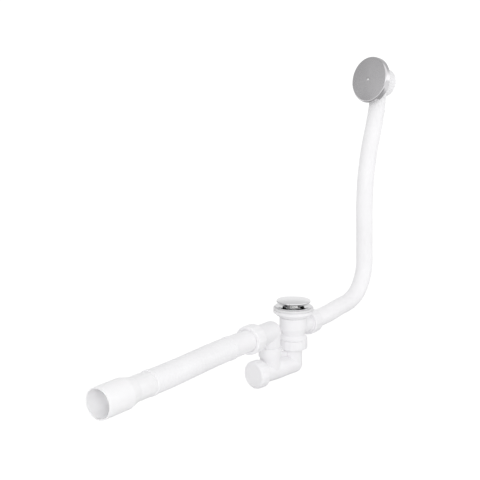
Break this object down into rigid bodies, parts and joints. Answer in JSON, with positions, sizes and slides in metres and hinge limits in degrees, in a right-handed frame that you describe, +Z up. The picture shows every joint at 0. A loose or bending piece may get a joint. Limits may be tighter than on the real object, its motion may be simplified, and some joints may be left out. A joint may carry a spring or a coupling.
{
  "type": "bath waste and overflow",
  "caption": "Bath waste with a chrome push plug, a white U trap with cleanout, a ringed outlet pipe and a hose to a round chrome overflow cover.",
  "frame": {"origin": "on the waste's axis in the plane of the bath floor, under the chrome flange", "axes": "+Z up along the waste's axis, +X towards the overflow, -X towards the outlet"},
  "size_m": [0.8578, 0.0944, 0.6081],
  "materials": {
    "white_plastic": "moulded, satin gloss",
    "white_hose": "soft satin",
    "inner_plastic": "moulded",
    "dark_rubber": "moulded rubber",
    "pale_rubber": "moulded rubber",
    "polished_chrome": "polished",
    "brushed_chrome": "brushed in circles, polished rim",
    "steel": "plain"
  },
  "bodies": {
    "fixed_fitting": {"waste_body": "white_plastic", "branch_nut": "white_plastic", "overflow_body": "white_plastic", "trap_inlet_nut": "white_plastic", "trap_body": "white_plastic", "outlet_elbow": "white_plastic", "outlet_nut": "white_plastic", "outlet_tail": "white_plastic", "outlet_end": "white_plastic", "overflow_grate": "white_plastic", "overflow_hose": "white_hose", "outlet_hose": "white_hose", "cartridge_housing": "inner_plastic", "latch_ring": "inner_plastic", "branch_seal": "dark_rubber", "trap_inlet_seal": "dark_rubber", "riser_seal": "dark_rubber", "outlet_seal": "dark_rubber", "overflow_gasket": "dark_rubber", "waste_gasket": "pale_rubber", "waste_flange": "polished_chrome", "overflow_cover": "brushed_chrome", "overflow_screw": "steel", "cartridge_spring": "steel"},
    "plug": {"plug_cap": "polished_chrome", "plug_seal": "dark_rubber", "plug_stem": "inner_plastic"},
    "cap_washer": {"cleanout_seal": "dark_rubber"},
    "cap": {"cleanout_cap": "white_plastic"}
  },
  "joints": [
    {"name": "plug_travel", "type": "slide", "parent": "fixed_fitting", "child": "plug", "axis": [0, 0, 1], "range_m": [-0.0075, 0], "stiffness_N_per_m": 600, "springref_m": 0.02, "deforming": ["cartridge_spring"]},
    {"name": "cap_travel", "type": "slide", "parent": "fixed_fitting", "child": "cap_washer", "axis": [-0.9816, 0.1908, 0], "range_m": [0, 0.01601]},
    {"name": "cap_turn", "type": "hinge", "parent": "cap_washer", "child": "cap", "pos_m": [-0.10111, 0.01965, -0.1108], "axis": [-0.9816, 0.1908, 0], "range_deg": [0, 1440]}
  ],
  "couplings": [
    {"joint": "cap_travel", "follows": "cap_turn", "m_per_rad": 0.00063662}
  ]
}
